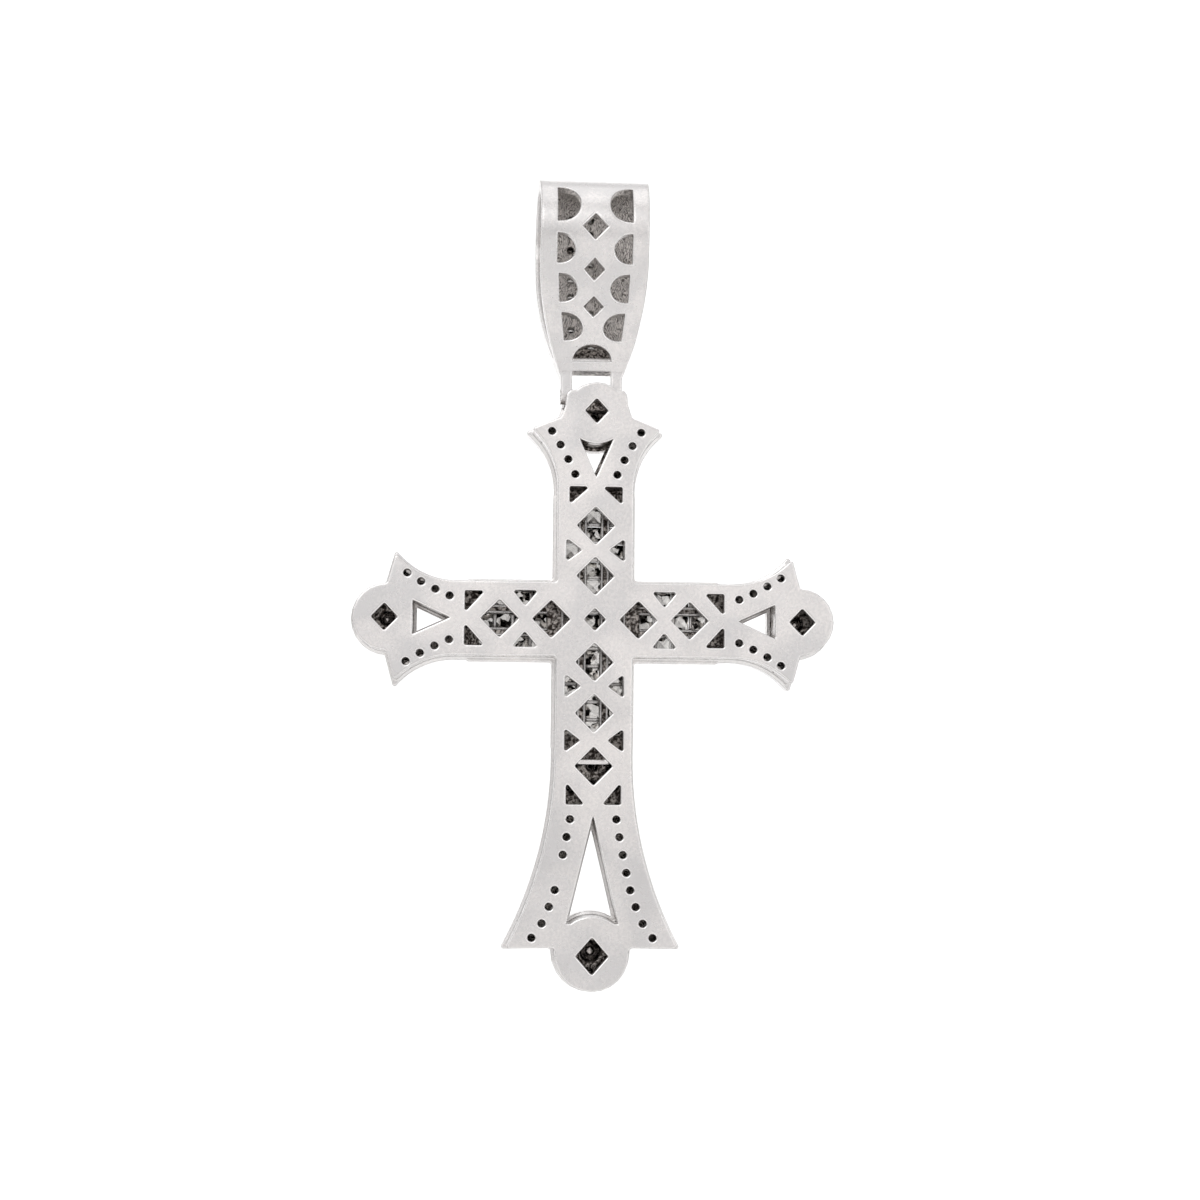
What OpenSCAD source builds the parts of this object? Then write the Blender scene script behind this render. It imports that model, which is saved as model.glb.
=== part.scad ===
// Cross pendant: a pierced back plate, slotted side walls and a stone-set front, hung from a pierced bail.
// Heights are measured from the crossing of the arms, then lowered so that the chain seat is the origin.
// The pierced back looks along -Y, the stone-set front along +Y, and +Z is up.

/* [Cross, back plate] */
// Half width of the upright
shaft_half = 2.4; // [2.2:0.05:2.6]
// Half width of the arms
arm_half = 2.33; // [2.2:0.05:2.6]
// Thickness of the pierced back plate
back_t = 0.6; // [0.4:0.05:0.8]
// Depth of the cross from the pierced back to the front rim
cross_depth = 3.0; // [2.8:0.05:3.4]
// Position in depth of the pierced back, set so that the cross hangs straight below its pin
back_y = -1.55; // [-1.8:0.01:-1.4]
// Thickness of the side walls
side_wall = 0.45; // [0.35:0.05:0.6]
// Thickness of the walls round the see-through openings
web = 0.35; // [0.25:0.05:0.45]
// Radius on the corners of the pierced windows
window_round = 0.1; // [0.03:0.01:0.12]
// Radius that polishing left on the outward corners of the outline
tip_round = 0.14; // [0.05:0.01:0.2]
// Radius in the inward corners of the outline
corner_fillet = 0.2; // [0.05:0.01:0.3]
// Diameter of the small holes drilled behind the round stones
azure_d = 0.5; // [0.35:0.05:0.6]

/* [Cross, front] */
// How far the front stands out past the back all round
front_grow = 0.2; // [0.1:0.05:0.25]
// Half length of the straight channel-set middle
channel_reach = 7.95; // [7.85:0.05:8.1]
// Half width of the straight channel-set middle
channel_half = 2.63; // [2.6:0.01:2.8]
// How far the middle stands proud of the flared ends
channel_proud = 0.15; // [0.1:0.05:0.25]
// Clear width of one channel
channel_w = 1.2; // [1.18:0.01:1.24]
// Distance from one channel to the next
channel_pitch = 1.45; // [1.4:0.01:1.5]
// Ledge under the stones on each side of a channel
seat_ledge = 0.17; // [0.12:0.01:0.22]

/* [Stones] */
// Width of a channel stone, across its channel
square_w = 1.12; // [1.0:0.01:1.14]
// Length of a channel stone, along its channel
square_l = 1.02; // [0.9:0.01:1.03]
// Distance from one channel stone to the next
square_pitch = 1.14; // [1.13:0.01:1.16]
// Diameter of the round stones in the flared ends of the top and the arms
small_round_d = 0.85; // [0.8:0.01:0.87]
// Diameter of the round stones in the foot
foot_round_d = 0.94; // [0.8:0.01:0.96]
// Diameter of the round stones on the bail
bail_round_d = 1.1; // [0.9:0.01:1.15]

/* [Bail] */
// Half width of the bail's back at the top
bail_half = 3.4; // [3.3:0.02:3.6]
// How much wider the bail's front is on each side
bail_draft = 0.25; // [0.1:0.05:0.3]
// Outer radius of the fold at the top of the bail
bail_r = 3.55; // [3.5:0.05:3.7]
// Height of the middle of that fold above the crossing
bail_fold_h = 25.05; // [24.9:0.05:25.3]
// Thickness of the bail's back wall
bail_back_wall = 0.6; // [0.55:0.05:0.7]
// Thickness of the bail's front wall, which holds stones
bail_front_wall = 0.85; // [0.85:0.05:0.95]
// How far the bail sits to one side on its pin
bail_shift = -0.3; // [-0.35:0.05:0.35]

/* [Hinge] */
// Height of the hinge pin above the crossing
pin_h = 14.6; // [14.55:0.01:14.7]
// Diameter of the hinge pin
pin_d = 0.7; // [0.6:0.02:0.74]
// Running clearance of the pin in the cross, on the radius
pin_play = 0.04; // [0.02:0.01:0.08]
// Half width of the knuckle on the cross
knuckle_half = 0.85; // [0.75:0.01:0.86]

/* [Hidden] */

$fn = 48;
arc_steps = 20;
fold_steps = 54;
front_y = back_y + cross_depth;
flare_front_y = front_y - channel_proud;
wall_y = back_y + back_t;
slot_from_y = wall_y + 0.4;
slot_to_y = slot_from_y + 0.45;
seat_y = front_y - 1.15;
setting_y = front_y - 0.7;
cut_margin = 0.5;
stone_gap = 0.03;

// One flared end of the cross, pointing up. Columns: half width where the flare starts, its start,
// its tip, the point where its end edge meets the disc, the disc's centre height and radius.
HALF = 0;
FLARE_AT = 1;
TIP = 2;
JOIN = 3;
DISC_AT = 4;
DISC_R = 5;
top_end = [shaft_half, 8.3, [4.12, 12.13], [2.33, 12.86], 13.2, 1.97];
side_end = [arm_half, 8.8, [4.0, 12.55], [2.0, 13.1], 13.1, 2.1];
foot_end = [shaft_half, 8.65, [5.35, 20.45], [2.2, 20.42], 20.8, 2.3];

// Triangular see-through openings: apex height, base height, half width of the base.
top_opening = [9.07, 11.6, 1.1];
side_opening = [9.1, 11.45, 1.08];
foot_opening = [12.26, 18.95, 1.62];

// Lozenge windows: half diagonals and heights on the upright, distances along the arms.
lozenge = [1.2, 1.22];
shaft_lozenges = [5.97, 2.76, -2.69, -5.9, -9.2];
arm_lozenges = [2.75, 6];
centre_lozenge = [0.7, 0.73];
// Lozenges in the discs: half width, half height, distance from the crossing.
top_lozenge = [0.75, 0.82, 13.34];
side_lozenge = [0.84, 0.88, 13.2];
foot_lozenge = [1.03, 1.17, 20.93];
shaft_notch_heights = [4.4, -4.2, -7.6];
arm_notch_at = 4.4;

// Round stones along one edge of each flared end: distance out from the middle line and height.
top_row = [[1.34, 9.23], [1.79, 10.18], [2.29, 11.1], [2.84, 11.97]];
side_row = [[1.38, 9.15], [1.78, 10.05], [2.25, 10.95], [2.78, 11.82]];
foot_row = [[1.45, 12.5], [1.65, 13.6], [1.87, 14.7], [2.1, 15.8],
            [2.35, 16.87], [2.7, 17.9], [3.14, 18.92], [3.76, 19.8]];
undrilled = 3;

// Triangular windows along the edges of the upright and of the arms: base, apex, half length.
shaft_notch = [1.85, 0.85, 0.74];
arm_notch = [1.79, 0.8, 0.8];
// Three-cornered windows at the ends of the straight parts.
top_corner = [[0.4, 8.45], [1.68, 8.45], [1.68, 7.3]];
foot_corner = [[0.55, -11.6], [1.72, -11.6], [1.72, -10.2]];
arm_corner = [[8.2, 0.32], [8.2, 1.72], [6.95, 1.72]];

// Walls across the hollow: heights on the upright, distance out on the arms, thickness.
shaft_wall_heights = [8.62, -8.95];
arm_wall_at = 8.5;
cross_wall = 0.3;

// Slots through the side walls. Columns: near edge out from the middle line, start, reach, length.
SHAFT_SLOTS = [[1.75, 9.1, 3, 2.4], [shaft_half - side_wall - 0.1, 3, 1, 3.8],
               [shaft_half - side_wall - 0.1, -6.9, 1, 4], [2.2, -15.6, 3, 3], [3, -18.9, 3, 2.5]];
ARM_SLOTS = [[arm_half - side_wall - 0.1, 2.9, 1, 1.7], [arm_half - side_wall - 0.1, 5.6, 1, 1.6],
             [1.75, 9.2, 3, 2.4]];

// Stones of the straight middle: how many each way from the crossing on the upright, and on each arm.
shaft_count = 6;
arm_count = 4;
arm_channel_from = 2.8;
channel_end = channel_reach - 0.5;
foot_field = [1.3, [9.2, 10.5]];
foot_field_d = 1.1;

// Depths of a cut stone from its table down, as shares of its width.
crown_share = 0.15;
girdle_share = 0.04;
pavilion_share = 0.45;
table_share = 0.58;

// Hinge, measured from the pin.
leg_r = 0.6;
knuckle_r = 0.6;
fork_half = 1.25;
leg_half = 1.85;
bar_above_pin = 1.45;
notch_floor = pin_h - 0.78;
notch_back_y = -0.95;
notch_front_y = 0.95;
pin_half = 1.7;
seat_h = bail_fold_h + bail_r - (bail_back_wall + bail_front_wall) / 2;

module layer(y_from, y_to) {
    translate([0, y_to, 0]) rotate([90, 0, 0]) linear_extrude(y_to - y_from) children();
}

module hang() {
    translate([0, 0, -seat_h]) children();
}

// The bail and its pin hang a little to one side of the cross.
module hang_bail() {
    translate([bail_shift, 0, -seat_h]) children();
}

// A flare's hollow edge: an arc that leaves the straight side without a kink and ends at the tip.
function flare_arc(half, from, tip) =
    let (rise = tip.x - half, run = tip.y - from,
         r = (rise * rise + run * run) / (2 * rise), sweep = asin(run / r))
    [for (i = [0:arc_steps])
        [half + r - r * cos(sweep * i / arc_steps), from + r * sin(sweep * i / arc_steps)]];

function mirrored(points) = [for (i = [len(points) - 1:-1:0]) [-points[i].x, points[i].y]];

module end_outline(end) {
    side = concat([[end[HALF], 0]], flare_arc(end[HALF], end[FLARE_AT], end[TIP]), [end[JOIN]]);
    polygon(concat(side, mirrored(side)));
    translate([0, end[DISC_AT]]) circle(r = end[DISC_R]);
}

// The shoulders beside the top disc, which hide the hinge.
module shoulders(top) {
    side = [[2.3, 12.8], [2.02, 13.6], [1.92, top - 0.25], [1.7, top]];
    polygon(concat(side, mirrored(side)));
}

module all_ends() {
    children(0);
    rotate(90) children(1);
    rotate(-90) children(1);
    mirror([0, 1]) children(2);
}

module plain_outline(shoulder_top) {
    all_ends() {
        end_outline(top_end);
        end_outline(side_end);
        end_outline(foot_end);
    }
    shoulders(shoulder_top);
}

// Rounds the outward corners of a shape, and fillets the inward ones.
module softened() {
    offset(r = tip_round, $fn = 24) offset(delta = -tip_round)
        offset(r = -corner_fillet, $fn = 24) offset(delta = corner_fillet) children();
}

module outline(shoulder_top) {
    softened() plain_outline(shoulder_top);
}

module triangle(opening) {
    polygon([[0, opening[0]], [opening[2], opening[1]], [-opening[2], opening[1]]]);
}

module see_through() {
    all_ends() {
        difference() {
            triangle(top_opening);
            translate([0, top_end[DISC_AT]]) circle(r = top_end[DISC_R]);
        }
        triangle(side_opening);
        difference() {
            triangle(foot_opening);
            translate([0, foot_end[DISC_AT]]) circle(r = foot_end[DISC_R]);
        }
    }
}

module diamond(half_x, half_y) {
    polygon([[half_x, 0], [0, half_y], [-half_x, 0], [0, -half_y]]);
}

// A triangular window whose base lies along the edge of a straight part.
module edge_notch(at, sizes) {
    polygon([[sizes[0], at - sizes[2]], [sizes[0], at + sizes[2]], [sizes[1], at]]);
}

module both_sides() {
    children();
    mirror([1, 0]) children();
}

module pierced_windows() {
    for (h = shaft_lozenges) translate([0, h]) diamond(lozenge.x, lozenge.y);
    for (x = arm_lozenges) both_sides() translate([x, 0]) diamond(lozenge.x, lozenge.x);
    diamond(centre_lozenge.x, centre_lozenge.y);
    both_sides() {
        for (h = shaft_notch_heights) edge_notch(h, shaft_notch);
        polygon(top_corner);
        polygon(foot_corner);
        for (side = [-1, 1]) scale([1, side]) {
            mirror([1, -1]) edge_notch(arm_notch_at, arm_notch);
            polygon(arm_corner);
        }
    }
    translate([0, top_lozenge.z]) diamond(top_lozenge.x, top_lozenge.y);
    both_sides() translate([side_lozenge.z, 0]) diamond(side_lozenge.x, side_lozenge.y);
    translate([0, -foot_lozenge.z]) diamond(foot_lozenge.x, foot_lozenge.y);
}

module azures(row, first = 0, skipped = -1) {
    for (i = [first:len(row) - 1]) if (i != skipped) translate(row[i]) circle(d = azure_d);
}

module all_azures() {
    all_ends() {
        both_sides() azures(top_row);
        both_sides() azures(side_row);
        union() {
            azures(foot_row);
            mirror([1, 0]) azures(foot_row, 0, undrilled);
        }
    }
}

// The hollow between the plates, with cross walls where the channels end.
module hollow() {
    difference() {
        offset(delta = -side_wall) outline(notch_floor);
        offset(delta = web) see_through();
        for (h = shaft_wall_heights) translate([0, h]) square([3 * shaft_half, cross_wall], center = true);
        for (side = [-1, 1]) translate([side * arm_wall_at, 0])
            square([cross_wall, 3 * arm_half], center = true);
        both_sides() translate([0.9, 13.4]) square([2, 3]);
        translate([-3, notch_floor + 0.2]) square([6, 3]);
    }
}

// Long narrow slots through the side walls, as outlines that cross the wall.
module wall_slots() {
    both_sides() {
        for (slot = SHAFT_SLOTS) translate([slot[0], slot[1]]) square([slot[2], slot[3]]);
        for (side = [-1, 1]) scale([1, side])
            for (slot = ARM_SLOTS) translate([slot[1], slot[0]]) square([slot[3], slot[2]]);
    }
}

// Seats drilled one by one for the stones of a row.
module row_seats(row, width) {
    for (place = row) translate(place) circle(d = width, $fn = 24);
}

// Seats for all the round stones of the cross, with some spare room or, below zero, a ledge.
module drilled_seats(spare) {
    all_ends() {
        both_sides() row_seats(top_row, small_round_d + 2 * spare);
        both_sides() row_seats(side_row, small_round_d + 2 * spare);
        both_sides() row_seats(foot_row, foot_round_d + 2 * spare);
    }
    for (c = CLUSTERS) {
        for (i = [0:c[3] - 1]) translate(ring_place(c, i)) circle(d = c[4] + 2 * spare);
        translate(disc_place(c)) circle(d = c[5] + 2 * spare);
    }
    for (x = [-1:1]) for (h = foot_field[1])
        translate([x * foot_field[0], -h]) circle(d = foot_field_d + 2 * spare);
}

module straight_channels() {
    for (i = [-1:1]) {
        translate([i * channel_pitch - channel_w / 2, -channel_end])
            square([channel_w, 2 * channel_end]);
        both_sides() translate([arm_channel_from, i * channel_pitch - channel_w / 2])
            square([channel_end - arm_channel_from, channel_w]);
    }
}

module straight_middle() {
    square([2 * channel_half, 2 * channel_reach], center = true);
    square([2 * channel_reach, 2 * channel_half], center = true);
}

module front_outline() {
    softened() {
        offset(delta = front_grow) plain_outline(pin_h - 0.3);
        straight_middle();
    }
}

module front_openings() {
    offset(delta = -front_grow) see_through();
}

// The knuckle that the hinge pin runs through, and the floor that carries it.
module knuckle() {
    translate([-knuckle_half, 0, pin_h]) rotate([0, 90, 0]) cylinder(r = knuckle_r, h = 2 * knuckle_half);
    translate([-knuckle_half, -knuckle_r, notch_floor - 0.3])
        cube([2 * knuckle_half, 2 * knuckle_r, pin_h - notch_floor + 0.3]);
}

module leg_notches() {
    for (side = [-1, 1]) translate([side * (knuckle_half + 1.5) - 1.5, notch_back_y, notch_floor])
        cube([3, notch_front_y - notch_back_y, 4]);
    translate([-2, notch_back_y, pin_h]) cube([4, -knuckle_r - notch_back_y, 4]);
    translate([-2, -knuckle_r, pin_h + knuckle_r * 0.8]) cube([4, notch_front_y + knuckle_r, 4]);
    translate([-2, knuckle_r, notch_floor]) cube([4, notch_front_y - knuckle_r, 4]);
}

module cross_frame() {
    color("lightgray") hang() difference() {
        union() {
            layer(back_y, wall_y) difference() {
                outline(14.65);
                see_through();
                offset(r = window_round, $fn = 16) offset(delta = -window_round) pierced_windows();
                all_azures();
            }
            layer(wall_y, slot_from_y) difference() {
                outline(notch_floor);
                see_through();
                hollow();
            }
            layer(slot_from_y, slot_to_y) difference() {
                outline(notch_floor);
                see_through();
                hollow();
                wall_slots();
            }
            layer(slot_to_y, seat_y) difference() {
                outline(notch_floor);
                see_through();
                hollow();
            }
            layer(seat_y, setting_y) difference() {
                front_outline();
                front_openings();
                offset(delta = -seat_ledge) straight_channels();
                drilled_seats(-seat_ledge);
            }
            layer(setting_y, flare_front_y) difference() {
                front_outline();
                front_openings();
                straight_channels();
                drilled_seats(stone_gap);
            }
            layer(flare_front_y, front_y) difference() {
                softened() straight_middle();
                straight_channels();
            }
            knuckle();
        }
        leg_notches();
        translate([-2, 0, pin_h]) rotate([0, 90, 0]) cylinder(d = pin_d + 2 * pin_play, h = 4);
    }
}

// A cut stone with its table up: table, crown, girdle and a pavilion that ends in a point.
module cut_stone(girdle_line, width, table = table_share) {
    n = len(girdle_line);
    crown = crown_share * width;
    girdle = girdle_share * width;
    pavilion = pavilion_share * width;
    points = concat([for (p = girdle_line) [p.x * table, p.y * table, crown]],
                    [for (p = girdle_line) [p.x, p.y, 0]],
                    [for (p = girdle_line) [p.x, p.y, -girdle]],
                    [[0, 0, -girdle - pavilion]]);
    faces = concat([[for (i = [n - 1:-1:0]) i]],
                   [for (ring = [0:1]) for (i = [0:n - 1])
                        [ring * n + i, ring * n + (i + 1) % n,
                         (ring + 1) * n + (i + 1) % n, (ring + 1) * n + i]],
                   [for (i = [0:n - 1]) [2 * n + i, 2 * n + (i + 1) % n, 3 * n]]);
    polyhedron(points, faces);
}

module round_stone(d) {
    cut_stone([for (i = [0:7]) d / 2 * [cos(45 * i + 22.5), sin(45 * i + 22.5)]], d);
}

module square_stone(across, along) {
    cut_stone([[across, along] / 2, [-across, along] / 2, [-across, -along] / 2, [across, -along] / 2],
              across, 0.66);
}

// Sets a stone in the front at a place given as distance across and height, with its table at a depth.
module front_set(place, table_y, width) {
    translate([place.x, table_y - crown_share * width, place.y]) rotate([-90, 0, 0]) children();
}

module channel_stones() {
    color("azure") hang() for (row = [-1:1]) {
        for (i = [-shaft_count:shaft_count])
            front_set([row * channel_pitch, i * square_pitch], front_y - 0.03, square_w)
                square_stone(square_w, square_l);
        for (side = [-1, 1]) for (i = [0:arm_count - 1])
            front_set([side * (arm_channel_from + 0.07 + square_pitch * (i + 0.5)), row * channel_pitch],
                      front_y - 0.03, square_w)
                square_stone(square_l, square_w);
    }
}

// Where a place beside the middle line of an end lies once the end points up, sideways or down.
function turned(place, end) =
    end == "top" ? place :
    end == "right" ? [place.y, place.x] :
    end == "left" ? [-place.y, place.x] :
    [place.x, -place.y];

module edge_row(row, end, d) {
    for (p = row) for (side = [-1, 1])
        front_set(turned([side * p.x, p.y], end), flare_front_y - 0.02, d) round_stone(d);
}

module flare_stones() {
    color("azure") hang() {
        edge_row(top_row, "top", small_round_d);
        edge_row(side_row, "left", small_round_d);
        edge_row(side_row, "right", small_round_d);
        edge_row(foot_row, "foot", foot_round_d);
    }
}

// A ring of small stones round the middle of a disc. Columns: end, its table of sizes, ring radius,
// number of stones, stone diameter, centre stone diameter.
CLUSTERS = [["top", top_end, 1.02, 6, 0.84, 0.9],
            ["left", side_end, 1.3, 7, 0.96, 1.3],
            ["right", side_end, 1.3, 7, 0.96, 1.3],
            ["foot", foot_end, 1.5, 8, 1.0, 1.7]];
function disc_place(c) = turned([0, c[1][DISC_AT]], c[0]);
function ring_place(c, i) = disc_place(c) + c[2] * [sin(360 * i / c[3]), cos(360 * i / c[3])];

module cluster_stones() {
    color("azure") hang() {
        for (c = CLUSTERS) for (i = [0:c[3] - 1])
            front_set(ring_place(c, i), flare_front_y - 0.02, c[4]) round_stone(c[4]);
        for (x = [-1:1]) for (h = foot_field[1])
            front_set([x * foot_field[0], -h], flare_front_y - 0.02, foot_field_d) round_stone(foot_field_d);
    }
}

module centre_stone(c) {
    color("azure") hang()
        front_set(disc_place(c), flare_front_y + 0.05, c[5]) round_stone(c[5]);
}

// Bail seen from the side: a fold of radius r at depth y, running straight down to a foot.
function drop_profile(r, y, foot_half, foot_h) =
    let (reach = [foot_half, foot_h - bail_fold_h], far = norm(reach),
         tangent = atan2(reach.y, reach.x) + acos(r / far), turn = 180 - 2 * tangent)
    concat([[y + foot_half, foot_h]],
           [for (i = [0:fold_steps]) let (a = tangent + turn * i / fold_steps)
                [y + r * cos(a), bail_fold_h + r * sin(a)]],
           [[y - foot_half, foot_h]]);

inner_r = bail_r - (bail_back_wall + bail_front_wall) / 2;
inner_y = (bail_back_wall - bail_front_wall) / 2;
bar_h = pin_h + bar_above_pin;

// Half width of the bail's back at a height: straight above, then drawn in as a parabola to the legs.
taper_from = 23;
taper_to = 13.9;
taper_by = 2.4;
legs_from = taper_from - (taper_from - taper_to) * sqrt((bail_half - leg_half) / taper_by);
function bail_half_at(h) =
    max(leg_half, bail_half - taper_by * pow(max(0, (taper_from - h) / (taper_from - taper_to)), 2));

// The bail's front view as a prism that widens from back to front.
module bail_block() {
    steps = 14;
    heights = concat([pin_h - 2 * leg_r],
                     [for (i = [0:steps]) legs_from + (taper_from - legs_from) * i / steps],
                     [bail_fold_h + bail_r + cut_margin]);
    side = [for (h = heights) [bail_half_at(h), h]];
    ring = concat(side, mirrored(side));
    n = len(ring);
    depth = bail_r + cut_margin;
    function wider(p) = [p.x + sign(p.x) * bail_draft, depth, p.y];
    polyhedron(concat([for (p = ring) [p.x, -depth, p.y]], [for (p = ring) wider(p)]),
               concat([[for (i = [n - 1:-1:0]) i]], [[for (i = [0:n - 1]) n + i]],
                      [for (i = [0:n - 1]) [i, (i + 1) % n, n + (i + 1) % n, n + i]]));
}

// A window with one straight side outwards: half an ellipse as high as it is tall.
module dee(flat_x, bulge_x, low, high, lean) {
    mid = (low + high) / 2;
    tall = (high - low) / 2;
    polygon([for (i = [0:12]) let (a = -90 + 180 * i / 12)
                 [flat_x + lean * tall * sin(a) - (flat_x - bulge_x) * pow(cos(a), 0.8),
                  mid + tall * sin(a)]]);
}

// Back windows of the bail. Columns: straight side, bulge, low, high, lean of the straight side.
DEES = [[2.39, 0.93, 25.03, 27.5, 0], [2.39, 1.23, 22.52, 24.32, 0],
        [2.23, 1.05, 20.22, 21.92, 0.04], [1.93, 0.67, 17.92, 19.6, 0.12]];
// Lozenge windows of the bail. Columns: height, half width, half height.
BAIL_LOZENGES = [[24.77, 0.81, 0.83], [22.2, 0.67, 0.69], [19.98, 0.65, 0.63]];
// Half-moon window above the bar: half width, height of its straight edge, rise.
half_moon = [1.27, 16.68, 1.02];

module bail_windows() {
    both_sides() for (d = DEES) dee(d[0], d[1], d[2], d[3], d[4]);
    for (l = BAIL_LOZENGES) translate([0, l[0]]) diamond(l[1], l[2]);
    polygon([for (i = [0:12]) [half_moon.x * cos(15 * i), half_moon.y + half_moon.z * sin(15 * i)]]);
}

// The bail's front wall as a path: turn of its outward normal, then depth and height, at a distance
// measured down from the point where the fold runs into the straight.
front_tangent = atan2(bar_h - bail_fold_h, leg_r) + acos(bail_r / norm([leg_r, bar_h - bail_fold_h]));
function front_turn(s) = front_tangent - min(0, s) / bail_r * 180 / PI;
function front_at(s) =
    let (a = front_turn(s), straight = max(0, s))
    [bail_r * cos(a) + straight * sin(front_tangent),
     bail_fold_h + bail_r * sin(a) - straight * cos(front_tangent)];

BAIL_ROWS = 9;
bail_pitch = 1.3;
bail_rows_from = -3.72;
five_wide_above = 3.15;
function row_at(i) = bail_rows_from + i * bail_pitch;
function columns_at(i) = bail_half_at(front_at(row_at(i)).y) > five_wide_above ? 2 : 1;

// Only the stones of the middle and of the column beside it are drilled right through.
function drilled_through(column) = column == 0 || column == -1;
seat_depth = 0.5;
blind_depth = 0.72;
through_depth = 1.2;

// Places children on the bail's front, with their own up pointing out of the wall.
module on_front(i, column) {
    p = front_at(row_at(i));
    translate([column * bail_pitch, p.x, p.y]) rotate([front_turn(row_at(i)) - 90, 0, 0]) children();
}

module bail_loop() {
    color("lightgray") hang_bail() difference() {
        intersection() {
            rotate([90, 0, 90]) translate([0, 0, -5]) linear_extrude(10) union() {
                polygon(drop_profile(bail_r, 0, leg_r, bar_h));
                translate([-leg_r, pin_h]) square([2 * leg_r, bar_above_pin + 0.2]);
                translate([0, pin_h]) circle(r = leg_r);
            }
            bail_block();
        }
        rotate([90, 0, 90]) translate([0, 0, -6]) linear_extrude(12)
            polygon(drop_profile(inner_r, inner_y, 0.1, bar_h + 1.0));
        translate([-fork_half, -2, pin_h - 2]) cube([2 * fork_half, 4, 2 + bar_above_pin]);
        layer(-4, inner_y) bail_windows();
        for (i = [0:BAIL_ROWS - 1]) {
            for (c = [-columns_at(i):columns_at(i)]) on_front(i, c) {
                translate([0, 0, -seat_depth]) cylinder(d = bail_round_d + 2 * stone_gap, h = 1, $fn = 32);
                drill = drilled_through(c) ? through_depth : blind_depth;
                translate([0, 0, -drill]) cylinder(d = azure_d, h = drill, $fn = 24);
            }
        }
        translate([-4, 0, pin_h]) rotate([0, 90, 0]) cylinder(d = pin_d + 0.02, h = 8);
    }
}

module bail_stones() {
    color("azure") hang_bail() for (i = [0:BAIL_ROWS - 1]) for (c = [-columns_at(i):columns_at(i)])
        on_front(i, c) translate([0, 0, -crown_share * bail_round_d]) round_stone(bail_round_d);
}

module hinge_pin() {
    color("silver") hang_bail()
        translate([-pin_half, 0, pin_h]) rotate([0, 90, 0]) cylinder(d = pin_d, h = 2 * pin_half);
}

cross_frame();
channel_stones();
flare_stones();
cluster_stones();
centre_stone(CLUSTERS[0]);  // top_stone
centre_stone(CLUSTERS[1]);  // left_stone
centre_stone(CLUSTERS[2]);  // right_stone
centre_stone(CLUSTERS[3]);  // foot_stone
bail_loop();
bail_stones();
hinge_pin();
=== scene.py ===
"""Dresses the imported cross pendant: white metal, cut stones, setting grains, studio and camera."""
import math

import bpy
import numpy as np
from bpy.props import FloatProperty, FloatVectorProperty, IntProperty, PointerProperty
from mathutils import Matrix, Vector


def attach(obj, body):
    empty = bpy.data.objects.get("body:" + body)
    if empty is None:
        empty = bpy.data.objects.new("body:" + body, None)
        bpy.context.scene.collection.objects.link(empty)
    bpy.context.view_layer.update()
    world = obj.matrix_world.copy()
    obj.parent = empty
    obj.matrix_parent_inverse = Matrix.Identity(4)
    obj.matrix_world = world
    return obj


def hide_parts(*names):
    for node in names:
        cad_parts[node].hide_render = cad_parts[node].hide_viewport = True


bl_info = {
    "name": "Cross Pendant",
    "version": (1, 0, 0),
    "blender": (4, 5, 0),
    "location": "3D View > Sidebar > Pendant",
    "description": "Pierced cross pendant on a hinged bail, with its stones, setting grains and studio",
    "category": "Object",
}

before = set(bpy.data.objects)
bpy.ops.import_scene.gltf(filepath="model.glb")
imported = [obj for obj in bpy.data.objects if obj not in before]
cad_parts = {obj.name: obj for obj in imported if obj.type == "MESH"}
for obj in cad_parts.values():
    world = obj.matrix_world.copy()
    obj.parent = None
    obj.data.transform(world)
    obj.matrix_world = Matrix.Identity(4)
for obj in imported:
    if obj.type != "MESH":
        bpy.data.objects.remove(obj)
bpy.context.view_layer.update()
MM = 0.001
MM_IN_M = 1000.0

# The source is in millimetres, with heights measured up from the crossing of the arms. The frame's
# origin, the chain seat, is above it. These are the crossing's height in the frame, the depth of the set
# face of the flared ends, and the depth of the channels' inner face, which the back's windows show.
CROSSING = -27.875
FLARE_Y = 1.3
SEAT_Y = 0.3


# Settings.


class PENDANT_PG_metal(bpy.types.PropertyGroup):
    colour: FloatVectorProperty(
        name="Metal colour", description="Colour of the polished white metal",
        subtype="COLOR", size=3, min=0, max=1, default=(0.94, 0.91, 0.89))
    # The hollow shade colour is painted shade over tarnished metal, and the hollow glint colour is painted
    # glints.
    hollow_shade_colour: FloatVectorProperty(
        name="Hollow colour", description="Colour of the tarnish inside the pierced hollows",
        subtype="COLOR", size=3, min=0, max=1, default=(0.034, 0.027, 0.023))
    hollow_glint: FloatVectorProperty(
        name="Hollow glint", description="Colour of the bare spots inside the pierced hollows",
        subtype="COLOR", size=3, min=0, max=1, default=(0.62, 0.575, 0.54))
    satin_colour: FloatVectorProperty(
        name="Satin colour", description="Colour of the inside of the bail, which no wheel reached",
        subtype="COLOR", size=3, min=0, max=1, default=(0.66, 0.625, 0.60))
    roughness: FloatProperty(
        name="Polish", description="Roughness of the polished faces", default=0.24, min=0.02, max=1)
    edge_round: FloatProperty(
        name="Edge rounding", description="Radius that polishing left on the edges",
        default=0.00023, min=0, unit="LENGTH", precision=5)


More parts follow.
